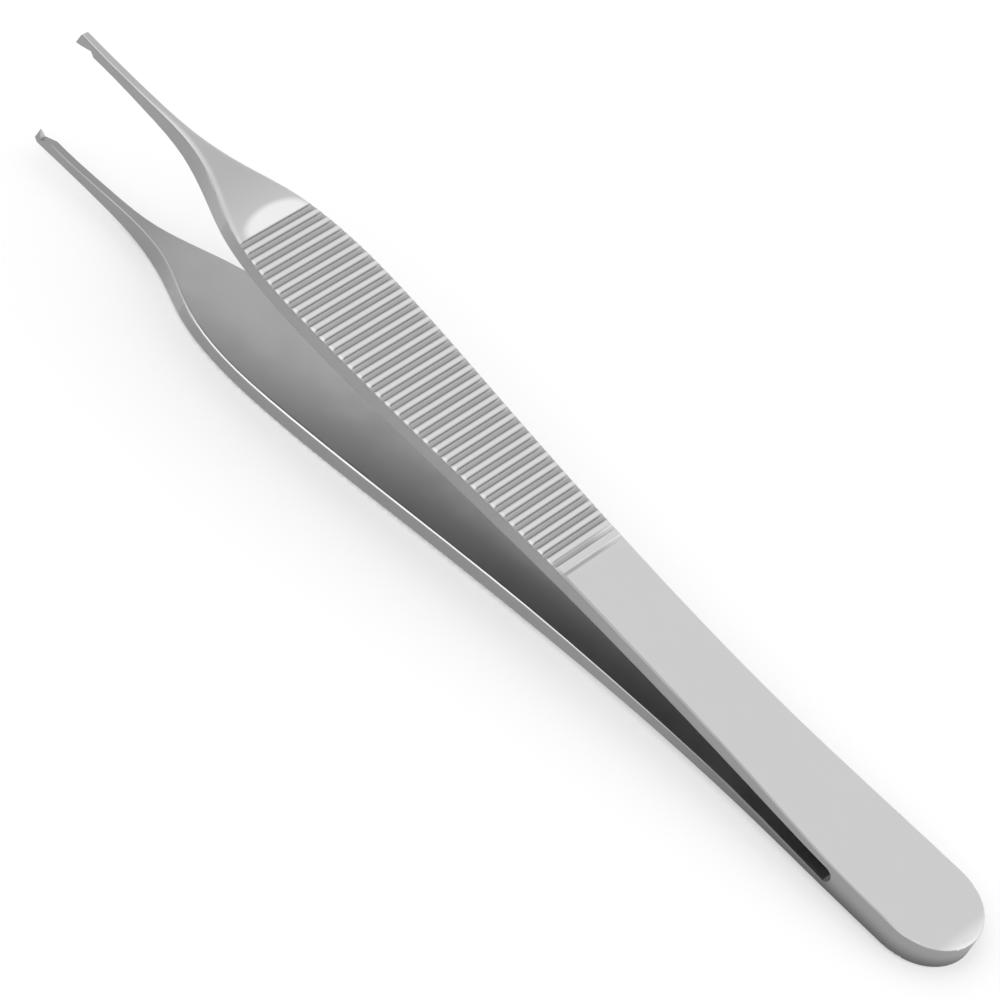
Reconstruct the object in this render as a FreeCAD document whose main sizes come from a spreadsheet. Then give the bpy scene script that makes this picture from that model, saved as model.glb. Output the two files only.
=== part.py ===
import FreeCAD, Part
import math
import os
import Sketcher

# Tissue forceps, the short thumb pattern with one tooth that closes between two.
# Two forged spring arms meet flush at the heel and spread to wide ridged grips,
# then narrow over a shoulder to fine toothed tips.
# Each arm is made in its own frame: X runs from the heel end to the tip, Y across
# the blade, and Z from the plane where the arms meet out to the arm's outer face.

os.makedirs("parts", exist_ok=True)
doc = FreeCAD.newDocument("tissue_forceps")
sheet = doc.addObject("Spreadsheet::Sheet", "Sizes")

# Each station of an arm: the run from the station before it, the blade's width,
# its thickness and the half gap inside it.
STATIONS = {
    "throat": (7.82, 11.20, 0.75, 0.73),
    "root": (10.45, 9.90, 1.15, 0.86),
    "waist": (14.00, 9.17, 1.41, 1.51),
    "grip_start": (14.00, 9.54, 1.74, 2.31),
    "grip_middle": (15.00, 11.25, 1.80, 3.30),
    "grip_widest": (15.00, 12.67, 1.81, 4.42),
    "grip_end": (9.00, 11.65, 1.73, 5.03),
    "shoulder": (5.00, 8.74, 2.06, 5.06),
    "neck": (4.00, 4.74, 2.38, 5.05),
    "tip_root": (4.50, 1.81, 2.02, 5.58),
    "tip_middle": (5.50, 1.03, 1.46, 6.12),
    "tooth_root": (7.40, 0.94, 1.19, 6.53),
    "tip": (2.60, 0.84, 1.42, 6.44),
}

SIZES = {
    "heel_width": 11.46,
    "heel_thickness": 1.41,
    "heel_edge": 0.30,
    "shoulder_edge": 0.45,
    "tip_edge": 0.20,
    "inner_edge": 0.24,
    "fine_edge": 0.08,
    "slot_end": 0.60,
    "groove_pitch": 1.23,
    "groove_width": 0.68,
    "groove_depth": 0.30,
    "first_groove": 1.90,
    "groove_count": 34,
    "fading_count": 2,
    "set_start": 60,
    "set_run": 60,
    "lower_set": 0.955,
    "upper_hollow": 0.45,
    "upper_hollow_run": 0.60,
    "upper_land": 0.17,
    "upper_land_run": 0.90,
    "upper_setback": 0.13,
    "upper_slant": 0.20,
    "upper_toe": 0.22,
    "tooth_gap": 0.40,
    "tooth_gap_depth": 0.70,
    "lower_notch": 0.58,
    "lower_notch_run": 1.45,
    "lower_tooth_run": 0.60,
    "lower_end": 0.78,
    "lower_toe": 0.36,
    "lower_toe_rise": 0.28,
    "lower_flank": 0.62,
    "tooth_point": 0.06,
}


def fill_sheet():
    """Writes every driving size into the sheet, one plain number to a row, and
    returns them as read back from its cells."""
    rows = dict(SIZES)
    for name, (run, width, thickness, gap) in STATIONS.items():
        rows[name + "_run"] = run
        rows[name + "_width"] = width
        rows[name + "_thickness"] = thickness
        rows[name + "_gap"] = gap
    for row, (name, number) in enumerate(rows.items(), start=1):
        sheet.set(f"A{row}", name.replace("_", " "))
        sheet.set(f"B{row}", str(number))
        sheet.setAlias(f"B{row}", name)
    doc.recompute()
    return {name: float(sheet.get(name)) for name in rows}


value = fill_sheet()
names = list(STATIONS)
CLOSE = 0.001
ROUNDING_PARTS = 3
NOTHING = ("0", 0)


def cell(name):
    """The sheet's cell of that name, as an expression."""
    return "Sizes." + name


def more(pair, *sizes):
    """An expression and its number, with some of the sheet's sizes added to both."""
    words, number = pair
    for name in sizes:
        words += " + " + cell(name)
        number += value[name]
    return words, number


def less(pair, *sizes):
    """An expression and its number, less some of the sheet's sizes."""
    words, number = pair
    for name in sizes:
        words += " - " + cell(name)
        number -= value[name]
    return words, number


def place_of(station):
    """A station's distance from the heel end, as an expression and a number."""
    start = (cell("heel_width") + " / 2", value["heel_width"] / 2)
    runs = [name + "_run" for name in names[: names.index(station) + 1]]
    return more(start, *runs)


def gap_of(station, set_name):
    """The half gap at a station, less what a set arm is bent inwards past its start."""
    words, number = cell(station + "_gap"), value[station + "_gap"]
    place_words, place = place_of(station)
    if set_name and place > value["set_start"]:
        share = f"(({place_words} - {cell('set_start')}) / {cell('set_run')}) ^ 2"
        words += f" - {cell(set_name)} * {share}"
        number -= value[set_name] * ((place - value["set_start"]) / value["set_run"]) ** 2
    return words, number


def smooth_curve(points):
    """A smooth curve through points that follow one another along X. It leaves the
    first level, and runs straight on at the last."""
    before, last = points[-2], points[-1]
    end_slope = (last.y - before.y) / (last.x - before.x)
    curve = Part.BSplineCurve()
    curve.interpolate(
        Points=points,
        Parameters=[point.x for point in points],
        InitialTangent=FreeCAD.Vector(1, 0, 0),
        FinalTangent=FreeCAD.Vector(1, end_slope, 0),
        Scale=False)
    return curve


def arm_curves(set_name):
    """The arm's half width, its outer face and its inner face, each as a curve whose
    Y is that size at X."""
    half_heel = value["heel_width"] / 2
    widths = [FreeCAD.Vector(half_heel, half_heel, 0)]
    tops = [FreeCAD.Vector(half_heel, value["heel_thickness"], 0)]
    gaps = []
    for name in names:
        place, gap = place_of(name)[1], gap_of(name, set_name)[1]
        widths.append(FreeCAD.Vector(place, value[name + "_width"] / 2, 0))
        tops.append(FreeCAD.Vector(place, gap + value[name + "_thickness"], 0))
        gaps.append(FreeCAD.Vector(place, gap, 0))
    return smooth_curve(widths), smooth_curve(tops), smooth_curve(gaps)


def side_web(tops, gaps):
    """The arm's side outline, drawn out across the blade: the flat heel, the end of
    the slot between the arms in two short slopes, and the outer and inner faces."""
    start, throat, end = tops.FirstParameter, gaps.FirstParameter, tops.LastParameter
    heel_corner = FreeCAD.Vector(0, tops.value(start).y, 0)
    slot_top = gaps.value(throat)
    slot_foot = FreeCAD.Vector(throat - value["slot_end"], 0, 0)
    share = math.sqrt(0.5)
    slot_cheek = FreeCAD.Vector(throat - share * value["slot_end"], share * slot_top.y, 0)
    outline = [
        Part.LineSegment(FreeCAD.Vector(), slot_foot),
        Part.LineSegment(slot_foot, slot_cheek),
        Part.LineSegment(slot_cheek, slot_top),
        gaps,
        Part.LineSegment(gaps.value(end), tops.value(end)),
        tops,
        Part.LineSegment(tops.value(start), heel_corner),
        Part.LineSegment(heel_corner, FreeCAD.Vector()),
    ]
    face = Part.Face(Part.Wire(Part.__sortEdges__([piece.toShape() for piece in outline])))
    face.rotate(FreeCAD.Vector(), FreeCAD.Vector(1, 0, 0), 90)
    reach = value["heel_width"]
    face.translate(FreeCAD.Vector(0, reach, 0))
    return face.extrude(FreeCAD.Vector(0, -2 * reach, 0))


def plan_web(widths):
    """The arm's outline seen from above, drawn out square to it: a half round heel
    and two sides alike."""
    start, shoulder, end = widths.FirstParameter, place_of("shoulder")[1], widths.LastParameter
    mirror = FreeCAD.Matrix()
    mirror.A22 = -1
    near = [widths.toShape(start, shoulder), widths.toShape(shoulder, end)]
    far = [edge.transformGeometry(mirror) for edge in near]
    foot, tip = widths.value(start), widths.value(end)
    heel = Part.Arc(foot, FreeCAD.Vector(0, 0, 0), FreeCAD.Vector(foot.x, -foot.y, 0))
    close = Part.LineSegment(tip, FreeCAD.Vector(tip.x, -tip.y, 0))
    edges = near + far + [heel.toShape(), close.toShape()]
    face = Part.Face(Part.Wire(Part.__sortEdges__(edges)))
    reach = value["heel_width"]
    face.translate(FreeCAD.Vector(0, 0, -reach))
    return face.extrude(FreeCAD.Vector(0, 0, 2 * reach))


def blank(name, set_name):
    """The arm before its edges are broken: what its side web and plan web share."""
    widths, tops, gaps = arm_curves(set_name)
    item = doc.addObject("Part::Feature", name + "_blank")
    item.Shape = side_web(tops, gaps).common(plan_web(widths))
    return item


def long_edges(shape, height, side, start):
    """The edges along one side of a face from a start on: the places of each one's
    ends, its number, and whether it is drawn towards the tip."""
    found = []
    for index, edge in enumerate(shape.Edges, start=1):
        first, last = edge.valueAt(edge.FirstParameter).x, edge.valueAt(edge.LastParameter).x
        middle = edge.valueAt((edge.FirstParameter + edge.LastParameter) / 2)
        beside = middle.x > start and middle.y * side > CLOSE
        if beside and abs(middle.z - height(middle.x)) < CLOSE:
            found.append((min(first, last), max(first, last), index, last > first))
    return sorted(found)


def chain_rounds(chain, radii, outwards):
    """Each edge of a chain with its radius at both ends, in the chain's own direction."""
    rounds = []
    for start, end, index, drawn_outwards in chain:
        pair = [value[radii[min(radii, key=lambda place: abs(place - near))]] for near in (start, end)]
        rounds.append((index, *(pair if outwards else pair[::-1])))
    return rounds


def broken_edges(name, item, set_name):
    """Rounds the long edges: more at the shoulder than at the heel, and finely along
    the inner face and the tip."""
    tops, gaps = arm_curves(set_name)[1:]
    heel, throat = tops.FirstParameter, gaps.FirstParameter
    shoulder, end = place_of("shoulder")[1], tops.LastParameter
    outer = {0: "heel_edge", heel: "heel_edge", shoulder: "shoulder_edge", end: "tip_edge"}
    inner = {throat: "fine_edge", shoulder: "inner_edge", end: "fine_edge"}

    def outer_face(place):
        return tops.value(max(place, heel)).y

    def inner_face(place):
        return gaps.value(place).y

    near, far = (long_edges(item.Shape, outer_face, side, 0) for side in (1, -1))
    outwards = near[0][-1]
    rounds = chain_rounds(near, outer, outwards) + chain_rounds(far, outer, not outwards)
    for side in (1, -1):
        chain = long_edges(item.Shape, inner_face, side, throat)
        rounds += chain_rounds(chain, inner, chain[0][-1])
    rounded = doc.addObject("Part::Fillet", name + "_edges")
    rounded.Base = item
    rounded.Edges = rounds
    return rounded


def split_roundings(name, item):
    """The arm with each of its rounded faces split lengthwise into strips. The shape
    stays the same, and narrow strips mesh with far fewer facets than one round face."""
    lines = []
    for face in item.Shape.Faces:
        if not face.Surface.TypeId.endswith("BSplineSurface"):
            continue
        surface = face.Surface
        first, last, low, high = face.ParameterRange
        across_first = surface.NbUKnots == 2
        for part in range(1, ROUNDING_PARTS):
            share = part / ROUNDING_PARTS
            if across_first:
                lines.append(surface.uIso(first + (last - first) * share).toShape(low, high))
            else:
                lines.append(surface.vIso(low + (high - low) * share).toShape(first, last))
    split = doc.addObject("Part::Feature", name + "_strips")
    split.Shape = item.Shape.generalFuse(lines)[0].Solids[0]
    return split


def plane_of(body, role):
    """One of the body's own origin planes."""
    return next(item for item in body.Origin.OriginFeatures if item.Role == role)


def new_sketch(body, name, role, offset=None):
    """A sketch on an origin plane, moved along the plane's normal by an expression."""
    sketch = body.newObject("Sketcher::SketchObject", name)
    sketch.AttachmentSupport = [(plane_of(body, role), "")]
    sketch.MapMode = "FlatFace"
    if offset:
        words, number = offset
        sketch.AttachmentOffset = FreeCAD.Placement(FreeCAD.Vector(0, 0, number), FreeCAD.Rotation())
        sketch.setExpression("AttachmentOffset.Base.z", words)
    return sketch


def bind(sketch, sizes):
    """Adds size constraints together, then ties each to its expression."""
    first = sketch.ConstraintCount
    sketch.addConstraint([Sketcher.Constraint(*where, number) for where, (words, number) in sizes])
    for index, (where, (words, number)) in enumerate(sizes, start=first):
        if words:
            sketch.setExpression(f"Constraints[{index}]", words)


def closed_outline(sketch, points):
    """A closed outline of straight edges, each corner pinned to its two expressions."""
    corners = [FreeCAD.Vector(across[1], up[1], 0) for across, up in points]
    first = sketch.GeometryCount
    count = len(corners)
    sketch.addGeometry([Part.LineSegment(corners[index], corners[(index + 1) % count])
                        for index in range(count)])
    sketch.addConstraint([
        Sketcher.Constraint("Coincident", first + index, 2, first + (index + 1) % count, 1)
        for index in range(count)])
    sizes = []
    for index, (across, up) in enumerate(points, start=first):
        sizes.append((("DistanceX", -1, 1, index, 1), across))
        sizes.append((("DistanceY", -1, 1, index, 1), up))
    bind(sketch, sizes)


def pocket(body, sketch, name, length=None):
    """Cuts a sketch back right through the body, or to a length behind it."""
    cut = body.newObject("PartDesign::Pocket", name)
    cut.Profile = sketch
    cut.Refine = False
    if length:
        cut.Type = "Length"
        cut.Length = length[1]
        cut.setExpression("Length", length[0])
    else:
        cut.Type = "ThroughAll"


def grip_grooves(body, set_name):
    """Round-bottomed grooves across the outer face of the grip. Each is cut to its depth
    below the outer face at its own place, and the last ones fade out towards the heel."""
    tops = arm_curves(set_name)[1]
    half, depth = value["groove_width"] / 2, value["groove_depth"]
    radius = (half ** 2 + depth ** 2) / (2 * depth)
    half_words, depth_words = f"({cell('groove_width')} / 2)", cell("groove_depth")
    radius_words = f"({half_words} ^ 2 + {depth_words} ^ 2) / (2 * {depth_words})"
    start_words, start = place_of("grip_end")
    full, fading = int(value["groove_count"]), int(value["fading_count"])
    beside = (cell("heel_width"), value["heel_width"])
    sketch = new_sketch(body, "groove_profile", "XZ_Plane", beside)
    circles, sizes = [], []
    for index in range(full + fading):
        place = start + value["first_groove"] - index * value["groove_pitch"]
        place_words = f"{start_words} + {cell('first_groove')} - {index} * {cell('groove_pitch')}"
        fade = max(0, index - full + 1) / (fading + 1)
        height = tops.value(place).y + radius - depth * (1 - fade)
        circles.append(Part.Circle(FreeCAD.Vector(place, height, 0), FreeCAD.Vector(0, 0, 1), radius))
        sizes.append((("DistanceX", -1, 1, index, 3), (place_words, place)))
        sizes.append((("DistanceY", -1, 1, index, 3), (None, height)))
        sizes.append((("Radius", index), (radius_words, radius)))
    sketch.addGeometry(circles)
    bind(sketch, sizes)
    pocket(body, sketch, "grip_grooves")


def across_cut(body, name, points):
    """A cut right across the blade, from an outline seen from its side."""
    beside = (cell("heel_width"), value["heel_width"])
    sketch = new_sketch(body, name + "_profile", "XZ_Plane", beside)
    closed_outline(sketch, points)
    pocket(body, sketch, name)


def end_cut(body, name, outlines, length):
    """A cut back from the tip's end by a length, from outlines seen end on."""
    sketch = new_sketch(body, name + "_profile", "YZ_Plane", place_of("tip"))
    for points in outlines:
        closed_outline(sketch, points)
    pocket(body, sketch, name, length)


def upper_teeth(body):
    """Two teeth on the upper tip: a hollow behind them, an end face that slants back
    from their points, and a V-shaped notch between them."""
    end, root = place_of("tip"), place_of("tooth_root")
    face, crest = gap_of("tooth_root", None), gap_of("tip", None)
    point, top = less(end, "upper_setback"), more(crest, "tip_thickness")
    hollow = more(root, "upper_hollow_run")
    land = more(hollow, "upper_land_run")
    across_cut(body, "hollow_behind_teeth", [
        (root, NOTHING), (root, face), (hollow, more(face, "upper_hollow")),
        (land, more(face, "upper_land")), (point, crest), (point, NOTHING)])
    slant = less(point, "upper_slant")
    back = less(slant, "upper_toe")
    above, beyond = more(top, "tip_thickness"), more(end, "tip_width")
    across_cut(body, "slanted_end", [
        (point, NOTHING), (point, crest), (slant, less(top, "upper_toe")), (back, top),
        (back, above), (beyond, above), (beyond, NOTHING)])
    half = (cell("tooth_gap") + " / 2", value["tooth_gap"] / 2)
    minus_half = ("-" + cell("tooth_gap") + " / 2", -value["tooth_gap"] / 2)
    length = less((cell("tip_run"), value["tip_run"]), "upper_hollow_run")
    end_cut(body, "notch_between_teeth", [[
        (minus_half, NOTHING), (half, NOTHING), (half, crest),
        (NOTHING, more(crest, "tooth_gap_depth")), (minus_half, crest)]], length)


def lower_tooth(body):
    """One tooth on the lower tip, to close between the upper two: a notch across behind
    it, an end face with a rounded toe under it, and a bevel down each side."""
    end, root = place_of("tip"), place_of("tooth_root")
    face, crest = gap_of("tooth_root", "lower_set"), gap_of("tip", "lower_set")
    notch = more(root, "lower_notch_run")
    point = more(notch, "lower_tooth_run")
    across_cut(body, "notch_behind_tooth", [
        (root, NOTHING), (root, face), (notch, more(face, "lower_notch")),
        (point, crest), (point, NOTHING)])
    toe = less(point, "lower_toe")
    back = less(toe, "lower_toe")
    top, heel_of_toe = more(crest, "tip_thickness"), more(face, "lower_end")
    above, beyond = more(top, "tip_thickness"), more(end, "tip_width")
    across_cut(body, "rounded_toe", [
        (point, NOTHING), (point, heel_of_toe), (toe, more(heel_of_toe, "lower_toe_rise")), (back, top),
        (back, above), (beyond, above), (beyond, NOTHING)])
    floor = more(face, "lower_flank")
    half = (cell("tip_width") + " / 2", value["tip_width"] / 2)
    outside = more(half, "tip_width")
    tooth = (cell("tooth_point") + " / 2", value["tooth_point"] / 2)
    near = [(tooth, NOTHING), (tooth, crest), (half, floor), (outside, floor), (outside, NOTHING)]
    far = [((f"-({across[0]})", -across[1]), up) for across, up in near]
    length = less((cell("tip_run"), value["tip_run"]), "lower_notch_run")
    end_cut(body, "tooth_flanks", [near, far[::-1]], length)


def make_arm(name, set_name, cut_teeth):
    """One arm as a body of its own, from the heel end to the teeth."""
    outline = blank(name, set_name)
    rounded = broken_edges(name, outline, set_name)
    doc.recompute()
    strips = split_roundings(name, rounded)
    body = doc.addObject("PartDesign::Body", name)
    body.Label = name
    body.BaseFeature = strips
    grip_grooves(body, set_name)
    cut_teeth(body)
    doc.recompute()
    return body


upper_arm = make_arm("upper_arm", None, upper_teeth)
lower_arm = make_arm("lower_arm", "lower_set", lower_tooth)


def resting_tilt():
    """The angle that the forceps lie at: on the heel's edge and on the belly of the
    lower grip, whichever station touches a straight table first."""
    steepest = 0
    for name in names:
        drop = gap_of(name, "lower_set")[1] + value[name + "_thickness"]
        reach = place_of(name)[1] - value["heel_edge"]
        steepest = max(steepest, (drop - value["heel_thickness"]) / reach)
    return math.degrees(math.atan(steepest))


# The forceps lie on the lower arm's outer face, with the origin on the table
# under the middle of their length.
tilt = FreeCAD.Rotation(FreeCAD.Vector(0, 1, 0), -resting_tilt())
turned_over = FreeCAD.Rotation(FreeCAD.Vector(1, 0, 0), 180)
upper_arm.Placement = FreeCAD.Placement(FreeCAD.Vector(), tilt)
lower_arm.Placement = FreeCAD.Placement(FreeCAD.Vector(), tilt.multiply(turned_over))
doc.recompute()
boxes = [arm.Shape.optimalBoundingBox(False, False) for arm in (upper_arm, lower_arm)]
middle = (min(box.XMin for box in boxes) + max(box.XMax for box in boxes)) / 2
table = min(box.ZMin for box in boxes)
for arm in (upper_arm, lower_arm):
    arm.Placement = FreeCAD.Placement(FreeCAD.Vector(-middle, 0, -table), arm.Placement.Rotation)
doc.recompute()

for item in doc.Objects:
    if {"Invalid", "Error"} & set(item.State):
        raise RuntimeError(f"{item.Label} failed: {item.getStatusString()}")
for arm in (upper_arm, lower_arm):
    if arm.Shape.isNull() or not arm.Shape.isValid() or len(arm.Shape.Solids) != 1:
        raise RuntimeError(f"{arm.Label} is not one sound solid")
    arm.Shape.exportStep(f"parts/{arm.Label}.step")
    size = arm.Shape.optimalBoundingBox(False, False)
    print(f"{arm.Label}: {arm.Shape.Volume:.1f} mm3, X {size.XMin:.2f} to {size.XMax:.2f}, "
          f"Y {size.YMin:.2f} to {size.YMax:.2f}, Z {size.ZMin:.2f} to {size.ZMax:.2f}")
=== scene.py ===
import math

import bpy
from mathutils import Matrix, Vector

bl_info = {
    "name": "Tissue Forceps",
    "version": (1, 0, 0),
    "blender": (4, 5, 0),
    "location": "3D View > Sidebar > Forceps",
    "description": "Dresses the packed arms of toothed tissue forceps in satin steel and sets the stage",
    "category": "Object",
}

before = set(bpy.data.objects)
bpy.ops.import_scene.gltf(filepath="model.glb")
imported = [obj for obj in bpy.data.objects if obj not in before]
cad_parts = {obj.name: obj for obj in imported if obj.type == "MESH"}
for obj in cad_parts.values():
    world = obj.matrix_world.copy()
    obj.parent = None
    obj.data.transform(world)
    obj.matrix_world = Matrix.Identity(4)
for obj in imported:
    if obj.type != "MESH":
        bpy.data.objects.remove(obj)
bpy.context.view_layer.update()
MM = 0.001
# How the forceps lie: the tilt of the plane between the arms, and its heel end.
TILT = math.radians(3.286589)
HEEL_END = Vector((-59.779, 0, 1.394)) * MM
# The grip's grooves, by their distances along the arm.
FIRST_GROOVE = 92.90 * MM
GROOVE_PITCH = 1.23 * MM
GROOVES = 36
# Masks of the grip, each a soft step from 0 at the first place to 1 at the second,
# counted in groove pitches from the first groove.
GRIP = {
    "start": (-0.42, -0.30),
    "end": (GROOVES - 0.4, GROOVES - 0.8),
    "ridges": (GROOVES, GROOVES - 4),
    "narrow": (GROOVES - 3, GROOVES - 1),
    "whole": (GROOVES - 2.4, GROOVES - 2.6),
}
# A groove's edge, by the distance from its middle in groove pitches, how much nearer
# it lies in the last grooves, and where across the arm the last two fade out.
GROOVE_EDGE = (0.44, 0.20)
NARROWING = 0.18
FADE_ACROSS = (-4 * MM, 0)
# Masks along the arm, each a soft step from 0 at the first place to 1 at the second, in
# millimetres from the heel end.
ALONG = {
    # A painted highlight on the very end of the heel.
    "heel_end_highlight": (1.9, 0.5),
    "softened_end": (2.2, 0.8),
    "heel_back": (9, 7),
    # Where the outer edges along the shank get the sides' painted shade.
    "shaded_edge_start": (3, 8),
    "shaded_edge_end": (53, 49),
    # Where the painted shade on the lower half of the side reaches.
    "under_side": (42, 12),
    "shank_start": (20, 42),
    "shank_end": (92, 48),
    "rim_start": (25, 60),
    "rim_end": (97, 93),
    "dull_tip": (91, 101),
    "inner_tip": (98, 106),
    "neck_start": (93, 94.5),
    "neck_end": (112, 105),
}
# Masks by how far a surface faces one way, as the same kind of steps.
FACING = {
    "outer_face": (0.10, 0.40),
    "ridge_top": (0.75, 0.97),
    "softened_face": (0.35, 0.60),
    "inner_face": (-0.75, -0.95),
    "rim_from_side": (-0.25, -0.35),
    "rim_from_face": (-0.95, -0.85),
    "side_face": (0.80, 0.97),
    # How far an outer edge leans to the side to get the sides' painted shade.
    "shaded_edge": (0.30, 0.55),
    "not_side": (0.93, 0.85),
    "leaning": (0.14, 0.20),
}
# The lower half of the sides, which gets painted shade at the heel, by the height over the plane between
# the arms.
LOW_HALF = (0.6 * MM, -1.6 * MM)
# The painted highlight (a glint on the shoulder) is half an ellipse that starts at the first
# groove's edge: its start, half axes, shift across the arm, and the soft steps of its outline and of its
# start.
PATCH_START = 93.1 * MM
PATCH_RUN = 2.3 * MM
PATCH_REACH = 5.0 * MM
PATCH_SHIFT = 0.4 * MM
PATCH_OUTLINE = (1.15, 0.55)
PATCH_FRONT = (0.09, 0.13)
# The satin's grain: how fine it is each way, how fine the cloudy patches are, the range
# of the patches' noise that is used, and how strongly the grain shows.
SPECKLE_SCALE = (2200, 4200, 4200)
CLOUD_SCALE = 220
CLOUD_RANGE = (0.35, 0.65)
GRAIN_STRENGTH = 0.35
# How many rays soften the normal at an edge.
SOFTENING_RAYS = 8
# The camera, fitted to both arms' outlines: its place and aim in metres, the width of
# its sensor in millimetres, and how near it sees.
CAMERA_PLACE = Vector((-151.3941, 387.3535, 375.8520)) * MM
CAMERA_AIM = Vector((-0.5248, 2.5523, 8.0)) * MM
SENSOR_WIDTH = 36
NEAR_CLIP = 0.01
# How much of the floor the camera sees as plain white.
FLOOR_GLOW = 0.35
# The tent's even light, and panels as a direction, the angles of the soft edge and of
# the core in degrees, and how much light each adds or takes away.
TENT = 0.95
SKY_PANELS = (
    ((0.10, 0.72, 0.69), 42, 16, 0.50),
    ((-0.66, -0.70, 0.22), 30, 12, 0.40),
    ((0.20, 0.98, 0.00), 24, 12, -0.75),
    ((-0.45, 0.89, 0.00), 24, 12, -0.75),
    ((0.75, 0.66, 0.00), 24, 12, -0.75),
)


class SteelSettings(bpy.types.PropertyGroup):
    """The finish of the steel."""

    face_colour: bpy.props.FloatVectorProperty(
        name="Face Colour", description="The satin of the outer faces",
        subtype="COLOR", size=3, min=0, max=1, default=(0.64, 0.64, 0.64))
    tip_colour: bpy.props.FloatVectorProperty(
        name="Tip Colour", description="The duller satin from the shoulder to the tips",
        subtype="COLOR", size=3, min=0, max=1, default=(0.49, 0.49, 0.49))
    ridge_colour: bpy.props.FloatVectorProperty(
        name="Ridge Colour", description="The bright tops of the ridges on the grip",
        subtype="COLOR", size=3, min=0, max=1, default=(0.74, 0.74, 0.74))
    groove_colour: bpy.props.FloatVectorProperty(
        name="Groove Colour", description="The dull bottoms of the grooves",
        subtype="COLOR", size=3, min=0, max=1, default=(0.42, 0.42, 0.42))
    # Partly the ground finish, partly painted shade: the sides are darkened for the dark surroundings
    # they mirror.
    ground_side_shade_colour: bpy.props.FloatVectorProperty(
        name="Side Colour", description="The ground sides of the arms",
        subtype="COLOR", size=3, min=0, max=1, default=(0.34, 0.34, 0.34))
    # Painted shade on the faces between the arms.
    inner_face_shade_colour: bpy.props.FloatVectorProperty(
        name="Inner Colour", description="The faces that the arms turn to each other",
        subtype="COLOR", size=3, min=0, max=1, default=(0.42, 0.42, 0.42))
    # Painted shade, deepest along the shanks between the arms.
    shank_shade_colour: bpy.props.FloatVectorProperty(
        name="Shank Colour", description="The inner faces along the shanks",
        subtype="COLOR", size=3, min=0, max=1, default=(0.25, 0.25, 0.25))
    # Painted shade on the inner faces of the tips.
    tip_inner_shade_colour: bpy.props.FloatVectorProperty(
        name="Tip Inner Colour", description="The inner faces of the narrow tips",
        subtype="COLOR", size=3, min=0, max=1, default=(0.32, 0.32, 0.32))
    # Painted shade on the lower half of the side at the heel.
    under_shade_colour: bpy.props.FloatVectorProperty(
        name="Under Colour", description="The lower half of the side at the heel",
        subtype="COLOR", size=3, min=0, max=1, default=(0.13, 0.13, 0.13))
    # A painted highlight: on the very end of the heel and along the rims of the inner faces.
    painted_highlight_colour: bpy.props.FloatVectorProperty(
        name="Painted Highlight Colour", description="The very end of the heel, and the rims of the inner faces",
        subtype="COLOR", size=3, min=0, max=1, default=(0.78, 0.78, 0.78))
    # A painted highlight on the softened edges along the neck.
    neck_highlight_colour: bpy.props.FloatVectorProperty(
        name="Band Colour", description="The bright broken edge along the neck",
        subtype="COLOR", size=3, min=0, max=1, default=(0.62, 0.62, 0.62))
    # A painted highlight: the glint on the shoulder before the first groove.
    painted_glint_colour: bpy.props.FloatVectorProperty(
        name="Painted Glint Colour", description="The polished patch before the first groove",
        subtype="COLOR", size=3, min=0, max=1, default=(0.90, 0.90, 0.90))
    roughness: bpy.props.FloatProperty(
        name="Roughness", description="How matt the satin is",
        subtype="FACTOR", min=0, max=1, default=0.38)
    softening: bpy.props.FloatProperty(
        name="Softening", description="How far the edges of the neck and the heel's end are softened",
        unit="LENGTH", min=0, default=0.9 * MM)
    unevenness: bpy.props.FloatProperty(
        name="Unevenness", description="How far the satin's cloudy patches change how matt it is",
        subtype="FACTOR", min=0, max=0.3, default=0.05)
    grain: bpy.props.FloatProperty(
        name="Grain", description="The height of the satin's grain",
        unit="LENGTH", min=0, default=0.004 * MM)


class StageSettings(bpy.types.PropertyGroup):
    """The stage that the forceps are shown on."""

    floor_size: bpy.props.FloatProperty(
        name="Floor Size", description="The side of the square floor",
        unit="LENGTH", min=0.1, default=3.0)
    lens: bpy.props.FloatProperty(
        name="Lens", description="The focal length on a 36 mm sensor, in millimetres",
        min=10, default=216)
    roll: bpy.props.FloatProperty(
        name="Roll", description="How far the camera is turned about its line of sight",
        subtype="ANGLE", default=math.radians(26.415003))


def new_material(name):
    """An empty node material with its output."""
    material = bpy.data.materials.new(name)
    material.use_nodes = True
    nodes = material.node_tree.nodes
    nodes.clear()
    return material, nodes, material.node_tree.links, nodes.new("ShaderNodeOutputMaterial")


def new_group(name, inputs, outputs):
    """An empty shader node group with sockets by name and kind."""
    group = bpy.data.node_groups.new(name, "ShaderNodeTree")
    for socket, kind in inputs.items():
        group.interface.new_socket(socket, in_out="INPUT", socket_type=f"NodeSocket{kind}")
    for socket, kind in outputs.items():
        group.interface.new_socket(socket, in_out="OUTPUT", socket_type=f"NodeSocket{kind}")
    return group, group.nodes.new("NodeGroupInput"), group.nodes.new("NodeGroupOutput")


def feed(tree, socket, value):
    """Sets an input socket to a number, or links an output socket to it."""
    if isinstance(value, bpy.types.NodeSocket):
        tree.links.new(value, socket)
    else:
        socket.default_value = value


def calculate(tree, operation, *values):
    """The result of one Math node."""
    node = tree.nodes.new("ShaderNodeMath")
    node.operation = operation
    for socket, value in zip(node.inputs, values):
        feed(tree, socket, value)
    return node.outputs[0]


def soft_step(tree, value, low, high):
    """A soft step from 0 at low to 1 at high, which may lie below low."""
    node = tree.nodes.new("ShaderNodeMapRange")
    node.interpolation_type = "SMOOTHSTEP"
    turned = low > high
    node.inputs["From Min"].default_value = min(low, high)
    node.inputs["From Max"].default_value = max(low, high)
    node.inputs["To Min"].default_value = int(turned)
    node.inputs["To Max"].default_value = int(not turned)
    feed(tree, node.inputs["Value"], value)
    return node.outputs["Result"]


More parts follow.
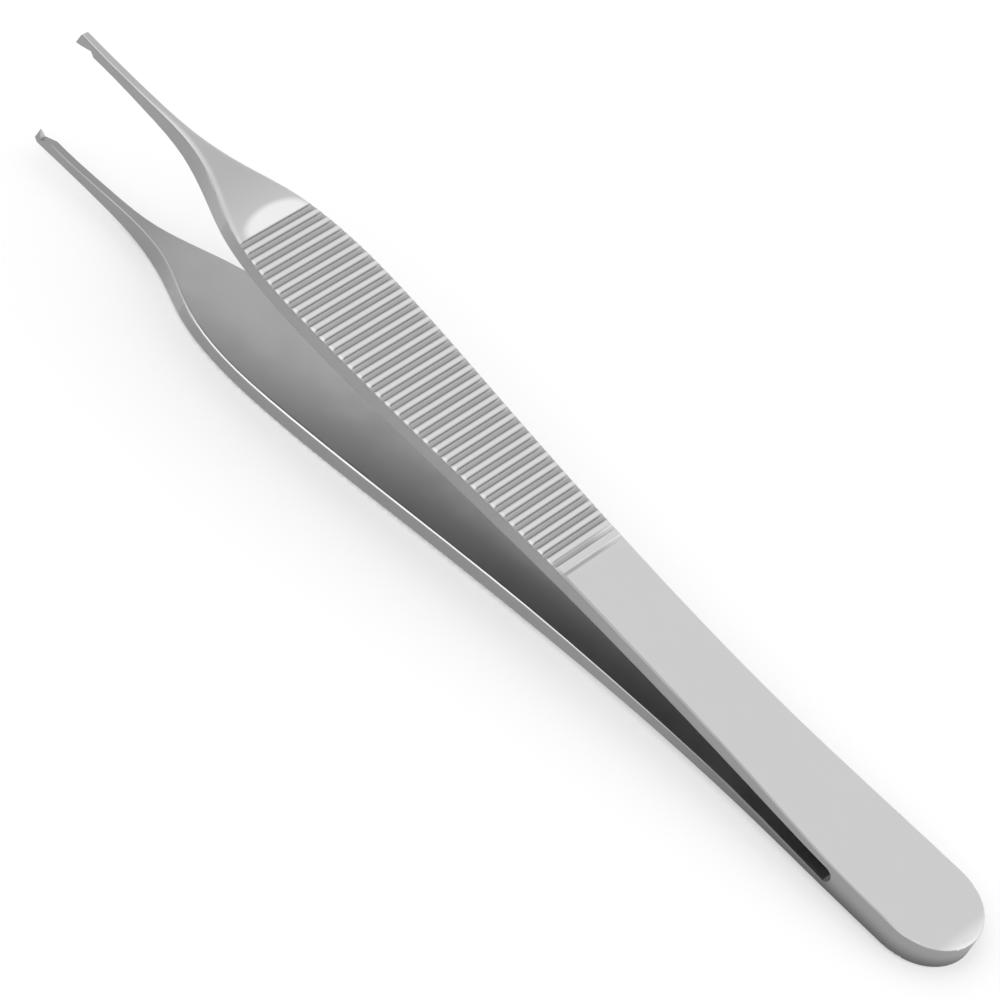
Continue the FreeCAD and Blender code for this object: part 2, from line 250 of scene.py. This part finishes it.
def product(tree, *factors):
    """The product of several values."""
    total = factors[0]
    for factor in factors[1:]:
        total = calculate(tree, "MULTIPLY", total, factor)
    return total


def stretch_of(tree, along, *names):
    """A mask of one stretch of the arm, from its named steps."""
    steps = []
    for name in names:
        start, end = ALONG[name]
        steps.append(soft_step(tree, along, start * MM, end * MM))
    return product(tree, *steps)


def blend(tree, factor, first, second):
    """A mix of two colours, each a socket or a setting."""
    mix = tree.nodes.new("ShaderNodeMix")
    mix.data_type = "RGBA"
    feed(tree, mix.inputs["Factor"], factor)
    for name, colour in (("A", first), ("B", second)):
        if isinstance(colour, bpy.types.NodeSocket):
            tree.links.new(colour, mix.inputs[name])
        else:
            mix.inputs[name].default_value = (*colour, 1)
    return mix.outputs["Result"]


def grain_group():
    """Satin grain: fine even speckle with a weak pull along X, out as a height and as
    a mask of slow cloudy patches."""
    group, entry, leave = new_group(
        "satin_grain", {"Vector": "Vector"}, {"Height": "Float", "Patches": "Float"})
    nodes, links = group.nodes, group.links
    stretch = nodes.new("ShaderNodeMapping")
    stretch.inputs["Scale"].default_value = SPECKLE_SCALE
    speckle = nodes.new("ShaderNodeTexNoise")
    speckle.inputs["Scale"].default_value = 1
    speckle.inputs["Detail"].default_value = 3
    clouds = nodes.new("ShaderNodeTexNoise")
    clouds.inputs["Scale"].default_value = CLOUD_SCALE
    clouds.inputs["Detail"].default_value = 4
    links.new(entry.outputs["Vector"], stretch.inputs["Vector"])
    links.new(stretch.outputs["Vector"], speckle.inputs["Vector"])
    links.new(entry.outputs["Vector"], clouds.inputs["Vector"])
    links.new(speckle.outputs["Fac"], leave.inputs["Height"])
    links.new(clouds.outputs["Fac"], leave.inputs["Patches"])
    return group


def arm_place_group():
    """The arm's own directions from Object coordinates: the distance along the arm from
    the heel end, the distance across it, the height over the plane between the arms,
    how far the surface faces out of the forceps (1) or into the gap (-1), and how far
    it faces sideways (0 to 1), which at the heel is also how far it faces back."""
    measures = ("Along", "Across", "Height", "Outwards", "Sideways")
    group, entry, leave = new_group(
        "arm_place", {"Vector": "Vector", "Normal": "Vector"}, dict.fromkeys(measures, "Float"))
    nodes, links = group.nodes, group.links
    lie = nodes.new("ShaderNodeMapping")
    lie.vector_type = "TEXTURE"
    lie.inputs["Location"].default_value = HEEL_END
    lie.inputs["Rotation"].default_value = (0, -TILT, 0)
    links.new(entry.outputs["Vector"], lie.inputs["Vector"])
    turn = nodes.new("ShaderNodeMapping")
    turn.vector_type = "VECTOR"
    turn.inputs["Rotation"].default_value = (0, TILT, 0)
    links.new(entry.outputs["Normal"], turn.inputs["Vector"])
    place, facing = nodes.new("ShaderNodeSeparateXYZ"), nodes.new("ShaderNodeSeparateXYZ")
    links.new(lie.outputs["Vector"], place.inputs["Vector"])
    links.new(turn.outputs["Vector"], facing.inputs["Vector"])
    for axis, name in (("X", "Along"), ("Y", "Across"), ("Z", "Height")):
        links.new(place.outputs[axis], leave.inputs[name])
    above = calculate(group, "SIGN", place.outputs["Z"])
    links.new(product(group, facing.outputs["Z"], above), leave.inputs["Outwards"])
    sideways = calculate(group, "ABSOLUTE", facing.outputs["Y"])
    level = calculate(group, "SUBTRACT", 1, calculate(group, "POWER", facing.outputs["Z"], 2))
    heel = stretch_of(group, place.outputs["X"], "heel_back")
    around = product(group, calculate(group, "SQRT", level), heel)
    links.new(calculate(group, "MAXIMUM", sideways, around), leave.inputs["Sideways"])
    return group


def groove_group():
    """Masks of the grip's grooves and of the ridges between them, by the distance along
    the arm from the nearest groove's middle in groove pitches."""
    group, entry, leave = new_group(
        "grip_grooves", {"Along": "Float", "Across": "Float", "Outwards": "Float"},
        {"Groove": "Float", "Ridge": "Float"})
    ahead = calculate(group, "SUBTRACT", FIRST_GROOVE, entry.outputs["Along"])
    count = calculate(group, "DIVIDE", ahead, GROOVE_PITCH)
    nearest = calculate(group, "ROUND", count)
    off = calculate(group, "ABSOLUTE", calculate(group, "SUBTRACT", count, nearest))
    steps = {name: soft_step(group, count, *places) for name, places in GRIP.items()}
    # The last grooves get narrower, and the last two fade out across the arm.
    narrow = product(group, steps["narrow"], NARROWING)
    groove = soft_step(group, calculate(group, "ADD", off, narrow), *GROOVE_EDGE)
    near = soft_step(group, entry.outputs["Across"], *FADE_ACROSS)
    reach = calculate(group, "MAXIMUM", steps["whole"], near)
    outwards = entry.outputs["Outwards"]
    outer = soft_step(group, outwards, *FACING["outer_face"])
    grooves = product(group, steps["start"], steps["end"], reach, groove, outer)
    group.links.new(grooves, leave.inputs["Groove"])
    between = calculate(group, "SUBTRACT", 1, groove)
    top = soft_step(group, outwards, *FACING["ridge_top"])
    ridges = product(group, steps["start"], steps["ridges"], between, top)
    group.links.new(ridges, leave.inputs["Ridge"])
    return group


def outer_colour(tree, arm, grooves, settings):
    """The outer faces: satin that is duller towards the tips, bright ridges and dull
    grooves, a painted highlight (a glint) before the first groove, and a painted highlight
    on the very end of the heel."""
    along, outwards = arm.outputs["Along"], arm.outputs["Outwards"]
    colour = blend(tree, stretch_of(tree, along, "dull_tip"), settings.face_colour, settings.tip_colour)
    colour = blend(tree, grooves.outputs["Ridge"], colour, settings.ridge_colour)
    colour = blend(tree, grooves.outputs["Groove"], colour, settings.groove_colour)
    # The painted highlight: a glint on the shoulder, half an ellipse from the first groove.
    run = calculate(tree, "DIVIDE", calculate(tree, "SUBTRACT", along, PATCH_START), PATCH_RUN)
    beside = calculate(tree, "ADD", arm.outputs["Across"], PATCH_SHIFT)
    reach = calculate(tree, "DIVIDE", beside, PATCH_REACH)
    spread = calculate(tree, "ADD", calculate(tree, "POWER", run, 2), calculate(tree, "POWER", reach, 2))
    outer = soft_step(tree, outwards, *FACING["outer_face"])
    patch = product(tree, soft_step(tree, spread, *PATCH_OUTLINE),
                    soft_step(tree, run, *PATCH_FRONT), outer)
    colour = blend(tree, patch, colour, settings.painted_glint_colour)
    # A painted highlight on the very end of the heel.
    end_highlight = product(tree, stretch_of(tree, along, "heel_end_highlight"), outer)
    return blend(tree, end_highlight, colour, settings.painted_highlight_colour)


def add_sides(tree, arm, colour, settings):
    """The colour with the ground sides in painted shade, which take in the outer edges along
    the shank, and painted shade on their lower half at the heel."""
    along, sideways = arm.outputs["Along"], arm.outputs["Sideways"]
    # The outer edges along the shank take the sides' colour: painted shade on them.
    edge = product(tree, soft_step(tree, sideways, *FACING["shaded_edge"]),
                   stretch_of(tree, along, "shaded_edge_start", "shaded_edge_end"))
    # Painted shade on the lower half of the sides at the heel.
    low = soft_step(tree, arm.outputs["Height"], *LOW_HALF)
    under = product(tree, low, stretch_of(tree, along, "under_side"))
    side = blend(tree, under, settings.ground_side_shade_colour, settings.under_shade_colour)
    facing = soft_step(tree, sideways, *FACING["side_face"])
    return blend(tree, calculate(tree, "MAXIMUM", edge, facing), colour, side)


def add_inner_faces(tree, arm, colour, settings):
    """The colour with the inner faces in painted shade, darkest along the shanks, and a
    painted highlight along their rims.
    """
    along, outwards = arm.outputs["Along"], arm.outputs["Outwards"]
    # Painted shade on the inner faces, deepest along the shanks, and its own at the tips.
    between = stretch_of(tree, along, "shank_start", "shank_end")
    inner = blend(tree, between, settings.inner_face_shade_colour, settings.shank_shade_colour)
    inner = blend(tree, stretch_of(tree, along, "inner_tip"), inner, settings.tip_inner_shade_colour)
    colour = blend(tree, soft_step(tree, outwards, *FACING["inner_face"]), colour, inner)
    # A painted highlight along the rims of the inner faces.
    rims = product(tree, soft_step(tree, outwards, *FACING["rim_from_side"]),
                   soft_step(tree, outwards, *FACING["rim_from_face"]),
                   stretch_of(tree, along, "rim_start", "rim_end"))
    return blend(tree, rims, colour, settings.painted_highlight_colour)


def satin_steel(settings):
    """Satin stainless steel. The outer faces are brightest, and duller towards the tips.
    The ridges of the grip are bright and its grooves dull. The sides are ground darker and
    darkened further with painted shade, and the inner faces carry painted shade. A painted
    highlight (a glint) lies between the first groove and the shoulder, and the edges of the
    neck and of the heel's end are softened and carry painted highlights."""
    material, nodes, links, output = new_material("satin_steel")
    tree = material.node_tree
    shader = nodes.new("ShaderNodeBsdfPrincipled")
    shader.inputs["Metallic"].default_value = 1
    place = nodes.new("ShaderNodeTexCoord")
    arm, grooves, grain = (nodes.new("ShaderNodeGroup") for _ in range(3))
    arm.node_tree = arm_place_group()
    grooves.node_tree = groove_group()
    grain.node_tree = grain_group()
    links.new(place.outputs["Object"], grain.inputs["Vector"])
    links.new(place.outputs["Object"], arm.inputs["Vector"])
    links.new(place.outputs["Normal"], arm.inputs["Normal"])
    along, outwards = arm.outputs["Along"], arm.outputs["Outwards"]
    for name in ("Along", "Across", "Outwards"):
        links.new(arm.outputs[name], grooves.inputs[name])
    colour = outer_colour(tree, arm, grooves, settings)
    colour = add_sides(tree, arm, colour, settings)
    colour = add_inner_faces(tree, arm, colour, settings)

    soften = nodes.new("ShaderNodeBevel")
    soften.samples = SOFTENING_RAYS
    soften.inputs["Radius"].default_value = settings.softening
    slope = nodes.new("ShaderNodeSeparateXYZ")
    links.new(soften.outputs["Normal"], slope.inputs["Vector"])
    lean = calculate(tree, "ABSOLUTE", slope.outputs["Y"])
    neck = stretch_of(tree, along, "neck_start", "neck_end")
    # A painted highlight on the softened edges of the neck's outer faces.
    band = product(tree, soft_step(tree, lean, *FACING["leaning"]),
                   soft_step(tree, arm.outputs["Sideways"], *FACING["not_side"]), neck,
                   soft_step(tree, outwards, *FACING["outer_face"]))
    links.new(blend(tree, band, colour, settings.neck_highlight_colour), shader.inputs["Base Color"])
    rough = nodes.new("ShaderNodeMapRange")
    rough.inputs["From Min"].default_value = CLOUD_RANGE[0]
    rough.inputs["From Max"].default_value = CLOUD_RANGE[1]
    rough.inputs["To Min"].default_value = settings.roughness - settings.unevenness
    rough.inputs["To Max"].default_value = settings.roughness + settings.unevenness
    links.new(grain.outputs["Patches"], rough.inputs["Value"])
    links.new(rough.outputs["Result"], shader.inputs["Roughness"])

    bump = nodes.new("ShaderNodeBump")
    bump.inputs["Strength"].default_value = GRAIN_STRENGTH
    bump.inputs["Distance"].default_value = settings.grain
    links.new(grain.outputs["Height"], bump.inputs["Height"])
    ends = calculate(tree, "MAXIMUM", neck, stretch_of(tree, along, "softened_end"))
    softened = product(tree, ends, soft_step(tree, outwards, *FACING["softened_face"]))
    normal = nodes.new("ShaderNodeMix")
    normal.data_type = "VECTOR"
    links.new(softened, normal.inputs["Factor"])
    links.new(bump.outputs["Normal"], normal.inputs["A"])
    links.new(soften.outputs["Normal"], normal.inputs["B"])
    links.new(normal.outputs["Result"], shader.inputs["Normal"])
    links.new(shader.outputs["BSDF"], output.inputs["Surface"])
    return material


class DressArms(bpy.types.Operator):
    """Give both arms their satin steel"""

    bl_idname = "forceps.dress_arms"
    bl_label = "Dress Arms"

    def execute(self, context):
        if set(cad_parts) != {"upper_arm", "lower_arm"}:
            raise RuntimeError("the frame doesn't hold the two arms")
        steel = satin_steel(context.scene.forceps_steel)
        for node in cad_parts.values():
            node.data.materials.clear()
            node.data.materials.append(steel)
        return {"FINISHED"}


def floor_material():
    """A white matt floor that keeps the shadow of what lies on it. Seen by the camera or
    mirrored in the steel it is part plain white, so the shadow stays weak."""
    material, nodes, links, output = new_material("white_floor")
    tree = material.node_tree
    shader, glow = nodes.new("ShaderNodeBsdfDiffuse"), nodes.new("ShaderNodeEmission")
    shader.inputs["Color"].default_value = (1, 1, 1, 1)
    path, mix = nodes.new("ShaderNodeLightPath"), nodes.new("ShaderNodeMixShader")
    seen = calculate(tree, "MAXIMUM", path.outputs["Is Camera Ray"], path.outputs["Is Glossy Ray"])
    links.new(product(tree, seen, FLOOR_GLOW), mix.inputs["Fac"])
    links.new(shader.outputs["BSDF"], mix.inputs[1])
    links.new(glow.outputs["Emission"], mix.inputs[2])
    links.new(mix.outputs["Shader"], output.inputs["Surface"])
    return material


def studio_sky_group():
    """The studio's light as a strength for each direction: an even white tent with soft
    panels, each a lobe about its own direction, and a dark strip low on the near side."""
    group, entry, leave = new_group("studio_sky", {"Direction": "Vector"}, {"Strength": "Float"})
    total = TENT
    for direction, edge, core, change in SKY_PANELS:
        dot = group.nodes.new("ShaderNodeVectorMath")
        dot.operation = "DOT_PRODUCT"
        dot.inputs[1].default_value = Vector(direction).normalized()
        group.links.new(entry.outputs["Direction"], dot.inputs[0])
        outside, inside = math.cos(math.radians(edge)), math.cos(math.radians(core))
        lobe = soft_step(group, dot.outputs["Value"], outside, inside)
        total = calculate(group, "ADD", total, product(group, lobe, change))
    group.links.new(total, leave.inputs["Strength"])
    return group


def studio_world():
    """A white tent of light. The camera sees it as plain white."""
    world = bpy.data.worlds.new("studio")
    world.use_nodes = True
    nodes, links = world.node_tree.nodes, world.node_tree.links
    place, sky = nodes.new("ShaderNodeTexCoord"), nodes.new("ShaderNodeGroup")
    sky.node_tree = studio_sky_group()
    links.new(place.outputs["Generated"], sky.inputs["Direction"])
    path, pick = nodes.new("ShaderNodeLightPath"), nodes.new("ShaderNodeMix")
    links.new(path.outputs["Is Camera Ray"], pick.inputs["Factor"])
    links.new(sky.outputs["Strength"], pick.inputs["A"])
    pick.inputs["B"].default_value = 1
    background = nodes["Background"]
    background.inputs["Color"].default_value = (1, 1, 1, 1)
    links.new(pick.outputs["Result"], background.inputs["Strength"])
    return world


class SetStage(bpy.types.Operator):
    """Add the floor, the tent of light and the camera"""

    bl_idname = "forceps.set_stage"
    bl_label = "Set Stage"

    def execute(self, context):
        settings = context.scene.forceps_stage
        half = settings.floor_size / 2
        mesh = bpy.data.meshes.new("floor")
        corners = [(-half, -half, 0), (half, -half, 0), (half, half, 0), (-half, half, 0)]
        mesh.from_pydata(corners, [], [(0, 1, 2, 3)])
        floor = bpy.data.objects.new("floor", mesh)
        mesh.materials.append(floor_material())
        context.scene.collection.objects.link(floor)

        context.scene.world = studio_world()

        camera_data = bpy.data.cameras.new("camera")
        camera_data.lens = settings.lens
        camera_data.sensor_width = SENSOR_WIDTH
        camera_data.clip_start = NEAR_CLIP
        camera = bpy.data.objects.new("camera", camera_data)
        turn = (CAMERA_AIM - CAMERA_PLACE).to_track_quat("-Z", "Y").to_matrix().to_4x4()
        roll = Matrix.Rotation(settings.roll, 4, "Z")
        camera.matrix_world = Matrix.Translation(CAMERA_PLACE) @ turn @ roll
        context.scene.collection.objects.link(camera)
        context.scene.camera = camera
        context.scene.view_settings.view_transform = "Standard"
        return {"FINISHED"}


class ForcepsPanel(bpy.types.Panel):
    """The forceps' tools in the sidebar."""

    bl_idname = "VIEW3D_PT_forceps"
    bl_label = "Tissue Forceps"
    bl_space_type = "VIEW_3D"
    bl_region_type = "UI"
    bl_category = "Forceps"

    def draw(self, context):
        layout = self.layout
        for settings in (context.scene.forceps_steel, context.scene.forceps_stage):
            for name in settings.__annotations__:
                layout.prop(settings, name)
        layout.operator(DressArms.bl_idname)
        layout.operator(SetStage.bl_idname)


CLASSES = (SteelSettings, StageSettings, DressArms, SetStage, ForcepsPanel)


def register():
    """Adds the tools and their settings."""
    for item in CLASSES:
        bpy.utils.register_class(item)
    bpy.types.Scene.forceps_steel = bpy.props.PointerProperty(type=SteelSettings)
    bpy.types.Scene.forceps_stage = bpy.props.PointerProperty(type=StageSettings)


def unregister():
    """Takes the tools and their settings away."""
    del bpy.types.Scene.forceps_stage
    del bpy.types.Scene.forceps_steel
    for item in reversed(CLASSES):
        bpy.utils.unregister_class(item)


def main():
    register()
    bpy.ops.forceps.dress_arms()
    bpy.ops.forceps.set_stage()


if __name__ == "__main__":
    main()
